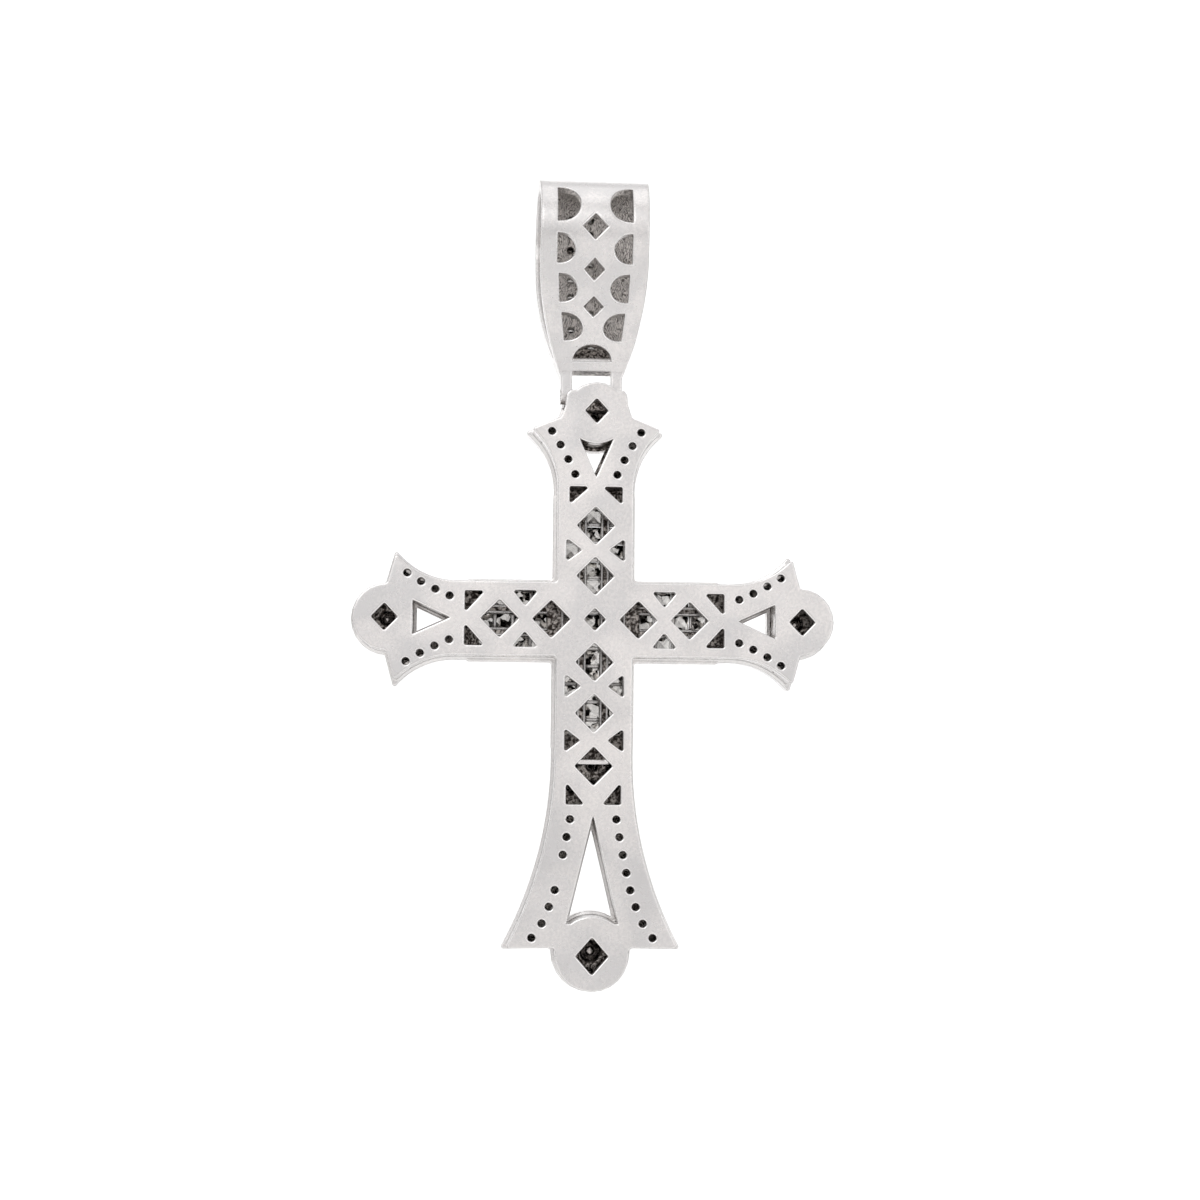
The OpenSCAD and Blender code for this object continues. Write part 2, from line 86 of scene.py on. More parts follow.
class PENDANT_PG_stones(bpy.types.PropertyGroup):
    tint: FloatVectorProperty(
        name="Stone tint", description="Body colour of the clear stones",
        subtype="COLOR", size=3, min=0, max=1, default=(0.99, 0.975, 0.95))
    # The underside colour is painted shade on the facets below the girdle, which sit in the dark.
    underside: FloatVectorProperty(
        name="Underside", description="Colour of the facets below the girdle, which sit in the dark",
        subtype="COLOR", size=3, min=0, max=1, default=(0.05, 0.048, 0.046))
    refraction: FloatProperty(
        name="Refraction", description="Index of refraction of the stones", default=2.15, min=1, max=3)
    table_share: FloatProperty(
        name="Table", description="Width of a main stone's table as a share of its width",
        default=0.57, min=0.4, max=0.7, subtype="FACTOR")
    grain_radius: FloatProperty(
        name="Grain radius", description="Radius of the metal grains that hold the round stones",
        default=0.00013, min=0.00005, max=0.0003, unit="LENGTH", precision=5)
    grain_rings: IntProperty(
        name="Grain rings", description="Rings of faces on each grain", default=3, min=2, max=5)


class PENDANT_PG_studio(bpy.types.PropertyGroup):
    ground: FloatVectorProperty(
        name="Ground colour", description="Colour of the paper below and behind the pendant",
        subtype="COLOR", size=3, min=0, max=1, default=(0.93, 0.93, 0.93))
    # The paper nearest the camera is painted greyer, as shade.
    near_ground: FloatVectorProperty(
        name="Near ground colour", description="Colour of the paper nearest the camera",
        subtype="COLOR", size=3, min=0, max=1, default=(0.9, 0.895, 0.89))
    key_power: FloatProperty(
        name="Key light", description="Power of the main soft light", default=0.28, min=0, unit="POWER")
    wall_power: FloatProperty(
        name="Wall light", description="Power of each light on the wall behind", default=0.71, min=0,
        unit="POWER")
    focal_length: FloatProperty(
        name="Focal length", description="Focal length of the camera's lens, in millimetres",
        default=52.68, min=20, max=200)


# Shader maths.


class Sock:
    """A shader socket that can be used in an expression; each operator adds its Math node."""

    def __init__(self, graph, socket):
        self.graph = graph
        self.socket = socket

    def _math(self, operation, *values):
        return self.graph.node("ShaderNodeMath", {"operation": operation}, dict(enumerate(values)))

    def __add__(self, other):
        return self._math("ADD", self, other)

    def __sub__(self, other):
        return self._math("SUBTRACT", self, other)

    def __mul__(self, other):
        return self._math("MULTIPLY", self, other)

    def __rsub__(self, other):
        return self._math("SUBTRACT", other, self)

    def __pow__(self, other):
        return self._math("POWER", self, other)

    __radd__ = __add__
    __rmul__ = __mul__

    def larger(self, other):
        return self._math("MAXIMUM", self, other)

    def size(self):
        """The value without its sign."""
        return self._math("ABSOLUTE", self)

    def between(self, low, high):
        """0 below low, 1 above high, and smooth between them."""
        return self.graph.node(
            "ShaderNodeMapRange", {"interpolation_type": "SMOOTHSTEP"},
            {"Value": self, "From Min": low, "From Max": high, "To Min": 0.0, "To Max": 1.0})

    def within(self, limit, blur):
        """1 as far as the limit on both sides of 0, and falling to 0 over the blur beyond it."""
        return 1.0 - self.size().between(limit, limit + blur)


class Graph:
    """The node tree of a new material, or of the world it is given, filled in through node()."""

    def __init__(self, name, world=None):
        self.owner = world or bpy.data.materials.new(name)
        self.owner.use_nodes = True
        self.tree = self.owner.node_tree
        self.tree.nodes.clear()
        self.output = self.tree.nodes.new("ShaderNodeOutputWorld" if world else "ShaderNodeOutputMaterial")

    def node(self, kind, settings=None, inputs=None, out=0):
        """Adds a node of this type, with its settings and then the values or links of its sockets, and
        gives one of its outputs."""
        made = self.tree.nodes.new(kind)
        for key, value in (settings or {}).items():
            setattr(made, key, value)
        for key, value in (inputs or {}).items():
            target = made.inputs[key]
            if isinstance(value, Sock):
                self.tree.links.new(value.socket, target)
            else:
                target.default_value = value
        return Sock(self, made.outputs[out])

    def place(self):
        """The point's place in the frame, in metres."""
        return self.node("ShaderNodeTexCoord", out="Object")

    def parts(self, vector):
        """The x, y and z of a vector."""
        made = self.node("ShaderNodeSeparateXYZ", {}, {0: vector})
        return [Sock(self, output) for output in made.socket.node.outputs]

    def millimetres(self):
        """How far across, how deep and how high above the crossing the point is."""
        x, y, z = self.parts(self.place())
        return x * MM_IN_M, y * MM_IN_M, z * MM_IN_M - CROSSING

    def facing(self):
        """The x, y and z of the object's own normal."""
        return self.parts(self.node("ShaderNodeTexCoord", out="Normal"))

    def dot(self, a, b):
        return self.node("ShaderNodeVectorMath", {"operation": "DOT_PRODUCT"}, {0: a, 1: b}, out="Value")

    def noise(self, scale, detail=3.0, roughness=0.5, distortion=0.0):
        return self.node("ShaderNodeTexNoise", {}, {
            "Vector": self.place(), "Scale": scale, "Detail": detail,
            "Roughness": roughness, "Distortion": distortion})

    def cells(self, scale):
        """Three random numbers for each cell of an angular pattern."""
        return self.parts(self.node("ShaderNodeTexVoronoi", {}, {
            "Vector": self.place(), "Scale": scale}, out="Color"))

    def mix(self, factor, a, b):
        """Mixes two colours, which a Mix node takes at its sockets 6 and 7 and gives at its output 2."""
        return self.node("ShaderNodeMix", {"data_type": "RGBA"}, {0: factor, 6: a, 7: b}, out=2)

    def surface(self, shader):
        self.tree.links.new(shader.socket, self.output.inputs["Surface"])
        return self.owner


def rgba(colour, share=1.0):
    """A share of a colour, with full alpha."""
    return (*(channel * share for channel in colour), 1.0)


def white_metal(name, settings, reach=0.003, mottle=1.0, hollow=None, satin=None):
    """Polished white metal, with soft waves left by the polishing, a faint haze and fine pits. It has
    painted shade on its sides and towards the ends of the cross, and under sheltered faces that look down.
    Where little light comes in from within the reach it has painted shade over tarnished metal, with painted
    glints. Edges are rounded in the shading, with a painted dark line where the rounding starts. They have
    a painted highlight on the faces, and painted shade on the sides and where they are sharpest. Hollow
    and satin are functions of the graph. Where hollow gives 1 there is painted shade over tarnished metal
    too. Elsewhere, where satin gives 1, the metal is matt with fine curved scratches. Mottle scales the
    haze's part in the roughness, and the bump."""
    g = Graph(name)
    waves = g.noise(260.0, 1.0)
    haze = g.noise(1100.0, 3.0, 0.55)
    # Fine noise for random tone, for the bump, and for where the hollows get painted glints.
    fleck_noise = g.noise(5200.0, 4.0, 0.65, 0.6)
    pits = g.noise(9000.0, 2.0, 0.5)
    light = g.node("ShaderNodeAmbientOcclusion", {"samples": 8, "only_local": True},
                   {"Distance": reach}, out="AO")

    # How far the rounded normal leans away from the face's own.
    rounded = g.node("ShaderNodeBevel", {"samples": 8}, {"Radius": settings.edge_round})
    lean = 1.0 - g.dot(rounded, g.node("ShaderNodeNewGeometry", out="Normal"))
    # Where to paint a dark line beside an edge, a highlight on it, and shade at the sharpest edges.
    line = lean.between(0.003, 0.007) * (1.0 - lean.between(0.006, 0.03))
    edge = lean.between(0.015, 0.14)
    corner = lean.between(0.16, 0.26)

    _, front, up = g.facing()
    across, _, high = g.millimetres()
    side = 1.0 - front.size().between(0.4, 0.8)
    ends = (across.size() + high.size()).between(8.0, 19.0)
    deep = hollow(g) if hollow else 0.0
    # Painted shade over tarnished metal where little light comes in from within the reach, and wherever
    # hollow gives 1.
    dark = (1.0 - (light + (haze - 0.5) * 0.06).between(0.03, 0.12)).larger(deep)
    # Painted shade in sheltered places, and under faces that look down where little light comes in.
    shelter_shade = (1.0 - (light + (haze - 0.5) * 0.2).between(0.1, 0.42)).larger(
        (up * -1.0).between(0.5, 0.9) * (1.0 - light.between(0.5, 0.75)))
    cloud = waves.between(0.38, 0.62) * 0.5 + haze.between(0.35, 0.7) * 0.22 + fleck_noise.between(0.4, 0.6) * 0.28

    # Random cloudy tone, with painted shade on the sides and towards the ends of the cross.
    polished = g.mix(cloud + ends * 0.4 + side * 0.3, rgba(settings.colour),
                     rgba([c * share for c, share in zip(settings.colour, (0.76, 0.775, 0.79))]))
    # Painted shade in the sheltered places, and a painted dark line where an edge's rounding starts.
    shaded_and_lined = g.mix(shelter_shade.larger(line * 0.8), polished, rgba(settings.colour, 0.62))
    # Painted highlight along the edges of the faces.
    edge_highlight = g.mix(edge * (1.0 - shelter_shade * 0.5) * (1.0 - side), shaded_and_lined, rgba((0.99, 0.985, 0.98)))
    # Painted shade along the edges of the sides and where edges are sharpest.
    outlined = g.mix((edge * side * 0.6).larger(corner * 0.8), edge_highlight, rgba(settings.colour, 0.35))
    # Painted shade over tarnished metal, with painted glints where the fleck noise is high.
    shaded_tarnish = g.mix(fleck_noise.between(0.44, 0.62), rgba(settings.hollow_shade_colour), rgba(settings.hollow_glint))
    colour = g.mix(dark, outlined, shaded_tarnish)
    rough = settings.roughness + haze.between(0.3, 0.8) * (0.08 * mottle) + dark * 0.12 - edge * 0.06
    height = waves + haze * 0.08 + pits.between(0.25, 0.45) * 0.03 + dark * fleck_noise * 0.6
    if satin:
        inside = satin(g) * (1.0 - deep)
        scratches = g.node("ShaderNodeTexWave", {"wave_type": "BANDS", "bands_direction": "X"}, {
            "Vector": g.place(), "Scale": 2300.0, "Distortion": 30.0, "Detail": 4.0, "Detail Scale": 0.6})
        speckle = g.noise(5000.0, 4.0, 0.7)
        matt = g.mix((scratches * 0.25 + speckle * 0.75).between(0.4, 0.56),
                     rgba(settings.satin_colour, 0.25), rgba(settings.satin_colour))
        colour = g.mix(inside, colour, matt)
        rough = rough + inside * 0.16
        height = height + inside * scratches * 0.5
    bump = g.node("ShaderNodeBump", {}, {
        "Strength": 0.5 * mottle, "Distance": 0.0001, "Height": height, "Normal": rounded})
    return g.surface(g.node("ShaderNodeBsdfPrincipled", {}, {
        "Base Color": colour, "Metallic": 1.0, "Roughness": rough, "Normal": bump}))


# Where this gives 1, the cross's metal gets painted shade over tarnished metal.
def inside_of_cross(g):
    """1 between the two plates of the cross behind its straight parts and its discs, short of the flares
    and of faces that look to the front, and 0 elsewhere."""
    upright_half, upright_reach, arm_half, arm_reach = 2.1, 12.0, 2.03, 9.0
    back_plate, front_plate = (-0.93, -0.8), (0.32, 0.4)
    across, deep, high = g.millimetres()
    _, front, _ = g.facing()
    pierced = (across.within(upright_half, 0.1) * high.within(upright_reach, 0.2)).larger(
        high.within(arm_half, 0.1) * across.within(arm_reach, 0.2))
    for out, up, radius in ((0.0, 13.2, 1.55), (13.1, 0.0, 1.65), (0.0, -20.8, 1.85)):
        away = (across.size() - out) ** 2.0 + (high - up) ** 2.0
        pierced = pierced.larger(away.within(radius ** 2, 0.2))
    between = deep.between(*back_plate) * (1.0 - deep.between(*front_plate))
    return pierced * between * (1.0 - front.between(0.4, 0.6))


# Where this gives 1, the bail's metal gets painted shade over tarnished metal.
def foot_of_bail(g):
    """1 on the underside of the bail's bar and inside the loop just above the bar, and 0 elsewhere."""
    _, _, high = g.millimetres()
    _, _, up = g.facing()
    above_bar = high - BAR_H
    under = (1.0 - above_bar.between(0.1, 0.3)) * (up * -1.0).between(0.6, 0.9)
    return under.larger(inside_of_bail(g) * (1.0 - above_bar.between(1.7, 2.4)))


def inside_of_bail(g):
    """1 on the faces that look towards the middle of the bail's loop, short of its rims, and 0 elsewhere.
    The middle runs straight up to the height of the fold, and the rims draw in below TAPER_FROM."""
    across, deep, high = g.millimetres()
    _, front, up = g.facing()
    outward = front * (deep - BAIL_MIDDLE_Y) + up * (high - BAIL_FOLD_H).larger(0.0)
    fall = (TAPER_FROM - high).larger(0.0) * (1.0 / (TAPER_FROM - TAPER_TO))
    flat = ((across - BAIL_SHIFT).size() + fall ** 2.0 * TAPER_BY).within(BAIL_RIM, 0.15)
    return (outward * -1.0).between(0.02, 0.12) * flat


def clear_stone(name, settings, glints, backing=1.0, dim=None):
    """Clear cut stone: refracting above the girdle, with a faint cloud of tint that changes from stone to
    stone. The facets below the girdle are those where the object's own normal, which is turned round
    inside the stone, looks away from the set front. They send the light back inside the stone, and from
    outside they have painted shade, in dim or the settings' underside, with painted angular glints of
    this colour. In about half the cells of a coarser pattern they do so only by the share backing, and
    let light pass."""
    g = Graph(name)
    cloud = g.noise(900.0, 2.0)
    tint = g.mix(cloud.between(0.3, 0.7), rgba(settings.tint), rgba(settings.tint, 0.9))
    clear = g.node("ShaderNodeBsdfPrincipled", {}, {
        "Base Color": tint, "Roughness": cloud * 0.03 + 0.01, "IOR": settings.refraction,
        "Transmission Weight": 0.85, "Coat Weight": 0.2})
    inner = g.node("ShaderNodeNewGeometry", out="Backfacing")
    spark = g.cells(3200.0)[0].between(0.4, 0.55)
    # The undersides seen from outside: painted shade with painted glints.
    outside = g.mix(spark, rgba(dim or settings.underside), rgba(glints))
    mirror = g.node("ShaderNodeBsdfPrincipled", {}, {
        "Base Color": g.mix(inner, outside, tint), "Metallic": 1.0, "Roughness": 0.16 - inner * 0.13})
    _, front, up = g.facing()
    below = ((front * -1.0 - up * 0.3) * (1.0 - inner * 2.0)).between(0.15, 0.5)
    gap = g.cells(1900.0)[1].between(0.5, 0.56)
    share = below * (1.0 - gap * (1.0 - backing))
    return g.surface(g.node("ShaderNodeMixShader", {}, {0: share, 1: clear, 2: mirror}))


def pale_ground(name, settings, texture):
    """Seamless paper: matt, with a faint mottling, and painted shade that makes it greyer in front than
    behind.
    """
    g = Graph(name)
    fibre = g.noise(texture, 5.0, 0.6)
    _, y, _ = g.parts(g.place())
    # Painted shade: greyer paper towards the camera.
    paper = g.mix(y.between(0.0, 0.14), rgba(settings.near_ground), rgba(settings.ground))
    shade = g.mix(fibre.between(0.2, 0.8) * 0.03, paper, rgba((0.0, 0.0, 0.0)))
    bump = g.node("ShaderNodeBump", {}, {"Strength": 0.05, "Distance": 0.0005, "Height": fibre})
    return g.surface(g.node("ShaderNodeBsdfPrincipled", {}, {
        "Base Color": shade, "Roughness": 0.85, "Normal": bump}))


def wear(obj, material):
    obj.data.materials.clear()
    obj.data.materials.append(material)


# Surfaces.


def mesh_object(name, vertices, faces):
    """A mesh object from an (n, 3) array and a list of face arrays, each (m, k) for k-sided faces."""
    mesh = bpy.data.meshes.new(name)
    loops = np.concatenate([f.ravel() for f in faces])
    sizes = np.concatenate([np.full(len(f), f.shape[1]) for f in faces])
    mesh.vertices.add(len(vertices))
    mesh.vertices.foreach_set("co", np.asarray(vertices, np.float32).ravel())
    mesh.loops.add(len(loops))
    mesh.loops.foreach_set("vertex_index", loops.astype(np.int32))
    mesh.polygons.add(len(sizes))
    mesh.polygons.foreach_set("loop_start", np.concatenate([[0], np.cumsum(sizes)[:-1]]).astype(np.int32))
    mesh.update(calc_edges=True)
    mesh.validate()
    obj = bpy.data.objects.new(name, mesh)
    bpy.context.scene.collection.objects.link(obj)
    return obj


def smooth(obj):
    obj.data.polygons.foreach_set("use_smooth", np.ones(len(obj.data.polygons), bool))


def brilliant(width, table_share):
    """A round brilliant with its table up at height 0. Rings of points, from the table down: 8 table
    corners, 8 star points turned half a step and lying between table and girdle, 16 girdle points on the
    circle, the same 16 a little lower, 8 points on the pavilion at 0.52 of the radius, and the culet."""
    half = width / 2
    crown, girdle, depth = 0.15 * width, 0.04 * width, 0.45 * width
    star_radius, star_drop = (1 + table_share) / 2 * half * 1.02, crown * 0.48
    pavilion_radius, pavilion_drop = 0.52 * half, 0.40 * depth
    eighth = np.arange(8) * np.pi / 4
    sixteenth = np.arange(16) * np.pi / 8

    def ring(angles, radius, height):
        return np.stack([radius * np.cos(angles), radius * np.sin(angles), np.full(len(angles), height)], 1)

    points = np.concatenate([
        ring(eighth, table_share * half, 0.0),
        ring(eighth + np.pi / 8, star_radius, -star_drop),
        ring(sixteenth, half, -crown),
        ring(sixteenth, half, -crown - girdle),
        ring(eighth + np.pi / 8, pavilion_radius, -crown - girdle - pavilion_drop),
        [[0, 0, -crown - girdle - depth]]])

    # Where each ring starts after the table's corners.
    star, upper, lower, pavilion, culet = 8, 16, 32, 48, 56
    i = np.arange(8)
    j = (i + 1) % 8
    g, g1, g2 = 2 * i, (2 * i + 1) % 16, (2 * i + 2) % 16
    k = np.arange(16)
    k1 = (k + 1) % 16
    triangles = [
        np.stack([i, star + i, j], 1),
        np.stack([star + i, upper + g, upper + g1], 1),
        np.stack([star + i, upper + g1, upper + g2], 1),
        np.stack([lower + g, pavilion + i, lower + g1], 1),
        np.stack([lower + g1, pavilion + i, lower + g2], 1)]
    kites = [
        np.stack([j, star + i, upper + g2, star + j], 1),
        np.stack([upper + k, lower + k, lower + k1, upper + k1], 1),
        np.stack([lower + g2, pavilion + i, np.full(8, culet), pavilion + j], 1)]
    return points, [i[None, :], np.concatenate(triangles), np.concatenate(kites)]


def facing_front(points):
    """Turns a shape with its top along +Z so that its top looks along +Y: (x, y, z) to (x, z, -y)."""
    return np.stack([points[:, 0], points[:, 2], -points[:, 1]], 1)


def grain_field(centres, normals, radius, height, rings):
    """Low domes, one for each centre: a quarter ellipse of that radius and height turned about the
    normal there in 8 steps and sunk a little, as whole arrays over centres, steps and rings."""
    steps, sunk = 8, 0.4 * radius
    turn = np.arange(steps) * np.pi / 4
    rise = np.linspace(0, np.pi / 2, rings + 1)[:-1]
    side = np.stack(np.broadcast_arrays(
        radius * np.cos(rise)[:, None] * np.cos(turn), radius * np.cos(rise)[:, None] * np.sin(turn),
        height * np.sin(rise)[:, None]), -1).reshape(-1, 3)
    base = side[:steps] - [0, 0, sunk]
    dome = np.concatenate([base, side, [[0, 0, height]], [[0, 0, -sunk]]])
    across = np.cross(normals, [1.0, 0.0, 0.0])
    across /= np.linalg.norm(across, axis=1)[:, None]
    along = np.cross(across, normals)
    vertices = (centres[:, None] + dome[None, :, 0:1] * along[:, None] + dome[None, :, 1:2] * across[:, None]
                + dome[None, :, 2:3] * normals[:, None]).reshape(-1, 3)
    a = np.arange(steps)
    b = (a + 1) % steps
    ring = steps * np.arange(rings)[:, None]
    quads = np.stack([ring + a, ring + b, ring + steps + b, ring + steps + a], -1).reshape(-1, 4)
    top, bottom = len(dome) - 2, len(dome) - 1
    last = steps * rings
    ends = np.concatenate([np.stack([last + a, last + b, np.full(steps, top)], 1),
                           np.stack([b, a, np.full(steps, bottom)], 1)])
    start = len(dome) * np.arange(len(centres))[:, None, None]
    return vertices, [(quads + start).reshape(-1, 4), (ends + start).reshape(-1, 3)]


def tube_faces(rings, sides, count):
    """The faces of a number of closed tubes, each of the same rings of points: a quad from each side of
    a ring to the next ring, and a cap at each end."""
    i, j = np.meshgrid(np.arange(rings - 1), np.arange(sides), indexing="ij")
    k = (j + 1) % sides
    quads = np.stack([sides * i + j, sides * (i + 1) + j, sides * (i + 1) + k, sides * i + k], -1)
    caps = np.stack([np.arange(sides), sides * rings - 1 - np.arange(sides)])
    start = sides * rings * np.arange(count)[:, None, None]
    return (quads.reshape(-1, 4) + start).reshape(-1, 4), (caps + start).reshape(-1, sides)


def bars(places, upright):
    """Thin bars under the front, one for each place: an oval of 12 points swept along a straight line
    across its channel, and waisted as in a casting. The waist takes 0.15 from the width and depth in the
    middle, and fades with the square of the way out. Where upright is true the bar stands along the
    height, otherwise along the width."""
    sides, half_length, half_width, half_depth, middle, waisting = 12, 0.45, 0.13, 0.2, 0.52, 0.15
    turn = np.arange(sides) * np.pi / (sides / 2)
    along = np.linspace(-half_length, half_length, 7)
    waist = 1 - waisting * (1 - (along / half_length) ** 2)
    narrow = half_width * np.cos(turn) * waist[:, None]
    deep = middle + half_depth * np.sin(turn) * waist[:, None]
    length = np.broadcast_to(along[:, None], narrow.shape)
    flat = np.stack([length, narrow], -1).reshape(-1, 2)
    turned = np.where(upright[:, None, None], flat[None, :, ::-1] * [-1, 1], flat[None])
    planes = turned + places[:, None]
    depth = np.broadcast_to(deep.ravel(), planes.shape[:2])
    points = np.stack([planes[..., 0], depth, planes[..., 1] + CROSSING], -1)
    return points.reshape(-1, 3) * MM, tube_faces(len(along), sides, len(places))


def rails(lines, depth):
    """Low rails along straight lines from (across, height) to (across, height): a half oval of 9 points
    carried along 41 places of its line, its flat side sunk a little into the face at this depth. Its
    width and depth swell and shrink by up to a tenth as the sum of two sines, as in a casting."""
    sides, half_width, rise, sunk = 9, 0.085, 0.13, 0.03
    turn = np.linspace(0, np.pi, sides)
    share = np.linspace(0, 1, 41)
    start, end = lines[:, None, 0], lines[:, None, 1]
    run = (end - start) / np.linalg.norm(end - start, axis=-1, keepdims=True)
    side = np.stack([-run[..., 1], run[..., 0]], -1)
    centre = start + (end - start) * share[:, None]
    way = centre.sum(-1)
    swell = 1 + 0.06 * np.sin(9 * way) + 0.04 * np.sin(23 * way + 1)
    out = half_width * np.cos(turn) * swell[..., None]
    flat = centre[:, :, None] + side[:, :, None] * out[..., None]
    back = depth + sunk - (sunk + rise * np.sin(turn)) * swell[..., None]
    points = np.stack([flat[..., 0], back, flat[..., 1] + CROSSING], -1)

    # The half oval runs the other way round than the tube's faces expect.
    quads, caps = tube_faces(len(share), sides, len(lines))
    return points.reshape(-1, 3) * MM, [quads[:, [0, 3, 2, 1]], caps[:, ::-1]]


# Where the stones are, as in the source, in millimetres.


# The middles of the stones in the right-hand row of each end, as (across, height) with the end upwards,
# and the stones' width.
TOP_ROW = np.array([[1.34, 9.23], [1.79, 10.18], [2.29, 11.1], [2.84, 11.97]])
SIDE_ROW = np.array([[1.38, 9.15], [1.78, 10.05], [2.25, 10.95], [2.78, 11.82]])
FOOT_ROW = np.array([[1.45, 12.5], [1.65, 13.6], [1.87, 14.7], [2.1, 15.8],
                     [2.35, 16.87], [2.7, 17.9], [3.14, 18.92], [3.76, 19.8]])
ROWS = {"top": (TOP_ROW, 0.86), "left": (SIDE_ROW, 0.86), "right": (SIDE_ROW, 0.86),
        "foot": (FOOT_ROW, 0.94)}

# What turns a place with its end upwards to where the end is.
TURNS = {"top": np.array([[1, 0], [0, 1]]), "right": np.array([[0, 1], [1, 0]]),
         "left": np.array([[0, -1], [1, 0]]), "foot": np.array([[1, 0], [0, -1]])}

# Each disc's middle, the radius of its ring of stones, their number and width, and the main stone's width.
DISCS = {"top": (np.array([0.0, 13.2]), 1.02, 6, 0.84, 0.9),
         "left": (np.array([-13.1, 0.0]), 1.3, 7, 0.96, 1.3),
         "right": (np.array([13.1, 0.0]), 1.3, 7, 0.96, 1.3),
         "foot": (np.array([0.0, -20.8]), 1.5, 8, 1.0, 1.7)}

# How far a main stone's table stands out of the set face, and the places across and the heights of the
# grains in the field above the foot's opening.
TABLE_PROUD = 0.05
FIELD_ACROSS, FIELD_HEIGHTS = [-0.65, 0.65], [-8.55, -9.85, -11.15]

# The middles of the straight channels, the pitch of their stones, and where the first stone of an arm
# starts. The rails lie this far to both sides of a channel's middle. On the arms they run between these
# two distances from the crossing, and on the upright from the second below it to the second above it.
CHANNELS = np.array([-1.45, 0.0, 1.45])
SQUARE_PITCH, ARM_STONES_FROM = 1.14, 2.87
RAIL_OUT, RAILS_FROM, RAILS_TO = 0.53, 2.9, 7.4

# How far the middle of a grain is from the edge of its stone: in a row, on the bail and by a main stone.
# The grains outside a ring of stones are this share of a stone's width beyond the ring. A grain is this
# share of its radius high.
ROW_GAP, BAIL_GAP, MAIN_GAP, RING_SHARE = 0.03, 0.07, 0.09, 0.36
GRAIN_RISE = 0.7

# The bail's front wall, seen from the side, is a fold of this radius about this height, and then runs
# straight down to the leg's radius round the bar's height. The bail rests a little to one side.
BAIL_R, BAIL_FOLD_H, BAR_H, LEG_R, BAIL_SHIFT = 3.55, 25.05, 16.05, 0.6, -0.3
BAIL_ROWS_FROM, BAIL_PITCH, BAIL_ROUND_D = -3.72, 1.3, 1.1

# The middle of the loop's inside, the half width inside its rims, and how the rims draw in: with the
# square of the fall from the first height, by this much at the second.
BAIL_MIDDLE_Y, BAIL_RIM = -0.125, 3.05
TAPER_FROM, TAPER_TO, TAPER_BY = 23.0, 13.9, 2.4

# How many stones there are on each side of the middle one in each row of the bail, from the top.
BAIL_COLUMNS = np.array([2, 2, 2, 2, 2, 2, 1, 1, 1])


def grid(across, heights):
    """Every pair of a place across and a height, as rows."""
    return np.stack(np.meshgrid(across, heights), -1).reshape(-1, 2)


def front_points(flat, depth):
    """Places (across, height above the crossing) in millimetres as points of the frame in metres."""
    flat = np.asarray(flat, float).reshape(-1, 2)
    return np.stack([flat[:, 0], np.full(len(flat), depth), flat[:, 1] + CROSSING], 1) * MM


def row_grains(row, width):
    """Two grains at each gap of a row of stones: the middle of each neighbouring pair, moved to both
    sides at right angles to the row by a little over half a stone's width."""
    step = row[1:] - row[:-1]
    step /= np.linalg.norm(step, axis=1)[:, None]
    side = np.stack([step[:, 1], -step[:, 0]], 1) * (width / 2 + ROW_GAP)
    middle = (row[1:] + row[:-1]) / 2
    return np.concatenate([middle + side, middle - side])


def bail_front(along, across):
    """Points and outward normals on the bail's front wall. Along is measured down from the place where
    the fold runs into the straight: above it the point turns about the fold's middle by along divided
    by the radius, below it the point slides down the tangent."""
    tangent = math.atan2(BAR_H - BAIL_FOLD_H, LEG_R) + math.acos(
        BAIL_R / math.hypot(LEG_R, BAR_H - BAIL_FOLD_H))
    turn = tangent - np.minimum(0, along) / BAIL_R
    slide = np.maximum(0, along)
    y = BAIL_R * np.cos(turn) + slide * math.sin(tangent)
    z = BAIL_FOLD_H + BAIL_R * np.sin(turn) - slide * math.cos(tangent) + CROSSING
    return (np.stack([across + BAIL_SHIFT, y, z], 1) * MM,
            np.stack([np.zeros(len(turn)), np.cos(turn), np.sin(turn)], 1))


def bail_grains():
    """Four grains round each stone of the bail, on the diagonals just outside its girdle."""
    row = np.concatenate([np.full(2 * n + 1, i) for i, n in enumerate(BAIL_COLUMNS)])
    column = np.concatenate([np.arange(-n, n + 1) for n in BAIL_COLUMNS])
    reach = (BAIL_ROUND_D / 2 + BAIL_GAP) * math.sqrt(0.5)
    down, side = np.meshgrid([-reach, reach], [-reach, reach])
    along = (BAIL_ROWS_FROM + BAIL_PITCH * row)[:, None] + down.ravel()
    across = (BAIL_PITCH * column)[:, None] + side.ravel()
    return bail_front(along.ravel(), across.ravel())


def disc_grains(centre, radius, count, width, main):
    """Grains of a disc: one outside each gap of the ring of stones, and one inside it by the main stone."""
    angle = (np.arange(count) + 0.5) * 2 * np.pi / count
    out = np.stack([np.sin(angle), np.cos(angle)], 1)
    return np.concatenate([centre + out * (radius + RING_SHARE * width),
                           centre + out * (main / 2 + MAIN_GAP)])


# Operators.


class PENDANT_OT_metal(bpy.types.Operator):
    """Gives the cross, the bail and the hinge pin their white metal"""
    bl_idname = "pendant.metal"
    bl_label = "Metal"

    def execute(self, context):
        settings = context.scene.pendant_metal
        wear(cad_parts["cross_frame"],
             white_metal("cross_white_metal", settings, hollow=inside_of_cross))
        wear(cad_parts["bail_loop"],
             white_metal("bail_white_metal", settings, reach=0.0014, hollow=foot_of_bail,
                         satin=inside_of_bail))
        wear(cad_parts["hinge_pin"], white_metal("pin_wire", settings, reach=0.0006, mottle=0.6))
        return {"FINISHED"}


